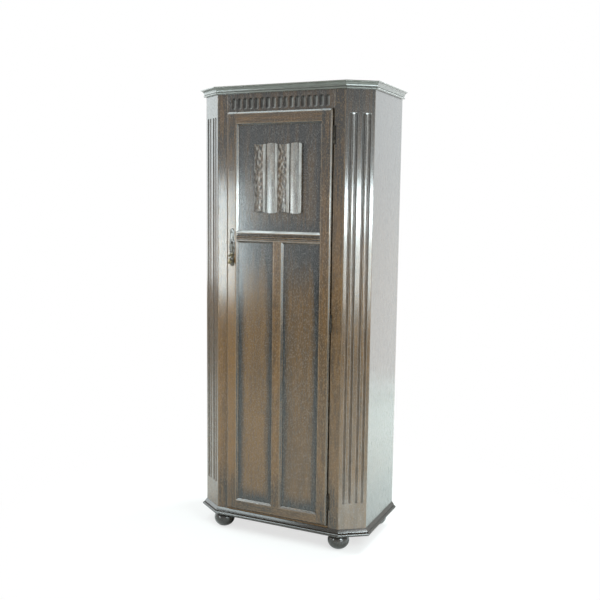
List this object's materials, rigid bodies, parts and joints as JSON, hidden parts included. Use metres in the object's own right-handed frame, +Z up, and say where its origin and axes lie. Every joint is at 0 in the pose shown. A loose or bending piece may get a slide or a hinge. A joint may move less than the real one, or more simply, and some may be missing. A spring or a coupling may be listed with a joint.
{
  "type": "wardrobe",
  "caption": "Tall dark oak wardrobe with one panelled door, canted fluted corners, carved frieze and linenfold, moulded cornice and plinth, drop handle, hanging rail and bun feet.",
  "frame": {"origin": "on the floor, under the middle of the overall box", "axes": "+Z up, -Y out of the door, +X towards the hinge side of the door"},
  "size_m": [0.756, 0.4166, 1.777],
  "materials": {
    "stained_oak": "dark stained oak with polish",
    "panel_oak": "stained oak, shaded darker at its borders",
    "inner_oak": "plain waxed oak",
    "plywood": "bare plywood",
    "old_brass": "oxidised brass",
    "steel": "dull steel"
  },
  "bodies": {
    "carcass": {"left_side_panel": "stained_oak", "right_side_panel": "stained_oak", "left_cant_pilaster": "stained_oak", "right_cant_pilaster": "stained_oak", "left_front_post": "stained_oak", "right_front_post": "stained_oak", "frieze_rail": "stained_oak", "top_board": "stained_oak", "base_board": "inner_oak", "back_panel": "plywood", "door_stop": "inner_oak", "cornice_front": "stained_oak", "cornice_left_cant": "stained_oak", "cornice_right_cant": "stained_oak", "cornice_left_side": "stained_oak", "cornice_right_side": "stained_oak", "plinth_front": "stained_oak", "plinth_left_cant": "stained_oak", "plinth_right_cant": "stained_oak", "plinth_left_side": "stained_oak", "plinth_right_side": "stained_oak", "bun_foot_front_left": "stained_oak", "bun_foot_front_right": "stained_oak", "bun_foot_back_left": "stained_oak", "bun_foot_back_right": "stained_oak", "hat_shelf": "inner_oak", "shelf_bearer_left": "inner_oak", "shelf_bearer_right": "inner_oak", "hanging_rail": "steel", "rail_bracket_front": "steel", "rail_bracket_back": "steel", "hinge_post_leaf_upper": "old_brass", "hinge_post_leaf_middle": "old_brass", "hinge_post_leaf_lower": "old_brass", "hinge_pin_upper": "steel", "hinge_pin_middle": "steel", "hinge_pin_lower": "steel", "strike_plate": "old_brass"},
    "door": {"left_stile": "stained_oak", "right_stile": "stained_oak", "top_rail": "stained_oak", "mid_rail": "stained_oak", "bottom_rail": "stained_oak", "muntin": "stained_oak", "upper_panel": "panel_oak", "linenfold": "panel_oak", "lower_left_panel": "panel_oak", "lower_right_panel": "panel_oak", "hinge_door_leaf_upper": "old_brass", "hinge_door_leaf_middle": "old_brass", "hinge_door_leaf_lower": "old_brass", "lock_case": "steel", "handle_backplate": "old_brass", "plate_screw_upper": "old_brass", "plate_screw_lower": "old_brass", "handle_stud": "old_brass"},
    "drop": {"drop_handle": "old_brass"},
    "bolt": {"lock_bolt": "old_brass"}
  },
  "joints": [
    {"name": "door_hinge", "type": "hinge", "parent": "carcass", "child": "door", "pos_m": [0.2243, -0.17405, 0.8885], "axis": [0, 0, 1], "range_deg": [0, 120]},
    {"name": "drop_swing", "type": "hinge", "parent": "door", "child": "drop", "pos_m": [-0.1955, -0.19975, 1.131], "axis": [-1, 0, 0], "range_deg": [0, 85]},
    {"name": "bolt_slide", "type": "slide", "parent": "door", "child": "bolt", "axis": [-1, 0, 0], "range_m": [0, 0.008]}
  ]
}
